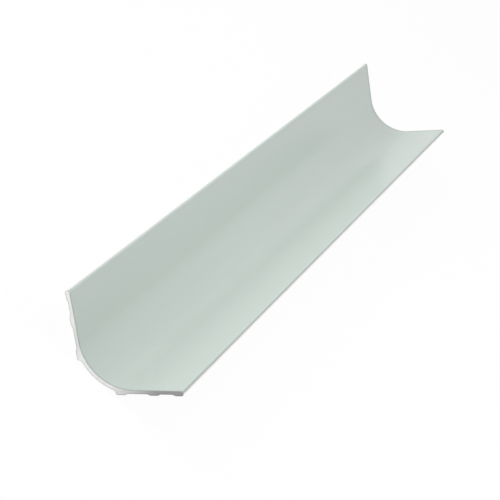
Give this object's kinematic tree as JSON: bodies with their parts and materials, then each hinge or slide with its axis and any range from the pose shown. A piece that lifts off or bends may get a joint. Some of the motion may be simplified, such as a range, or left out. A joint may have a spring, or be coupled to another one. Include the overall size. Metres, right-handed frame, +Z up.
{
  "type": "cove trim",
  "caption": "Extruded plastic cove trim: two equal legs joined by a concave radius, with low glue ribs along the back, for rounding an inside corner.",
  "frame": {"origin": "middle of the length, under the middle of the cove's back, on the floor that the trim lies on", "axes": "+Y along the length, away from the end that the picture shows cut; +Z up, out of the open side of the cove; one leg rises towards +X and the other towards -X"},
  "size_m": [0.0484, 0.3, 0.0178],
  "materials": {
    "trim_plastic": "satin pale grey-green face on white plastic"
  },
  "bodies": {
    "root": {"cove_trim": "trim_plastic"}
  },
  "joints": []
}
